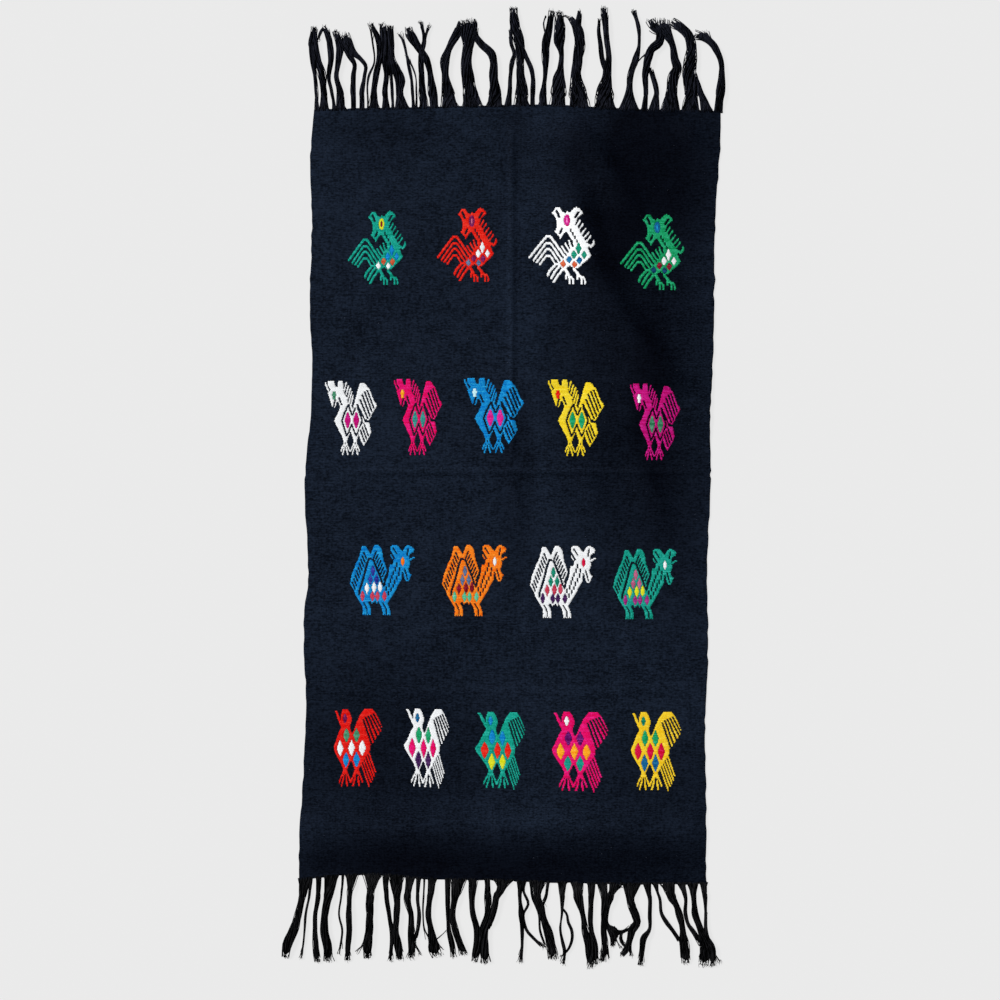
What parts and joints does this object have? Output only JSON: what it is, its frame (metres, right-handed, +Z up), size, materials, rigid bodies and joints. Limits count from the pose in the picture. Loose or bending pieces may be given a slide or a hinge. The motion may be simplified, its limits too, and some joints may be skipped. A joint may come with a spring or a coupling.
{
  "type": "woven table runner",
  "caption": "Hand-woven navy cotton table runner with brocaded rows of birds, winged beasts, camels and peacocks and a long warp fringe at both ends, laid out flat.",
  "frame": {"origin": "on the surface that the runner lies on, under the middle of its whole outline with both fringes", "axes": "+Z up through the face with the motifs, +Y along the length towards the top end, where the heads of the motifs point, +X across to the right"},
  "size_m": [0.4412, 0.958, 0.0101],
  "materials": {
    "navy_cotton_cloth": "matt",
    "navy_warp_yarn": "matt"
  },
  "bodies": {
    "root": {"woven_cloth": "navy_cotton_cloth", "fringe_top": "navy_warp_yarn", "fringe_bottom": "navy_warp_yarn"}
  },
  "joints": []
}
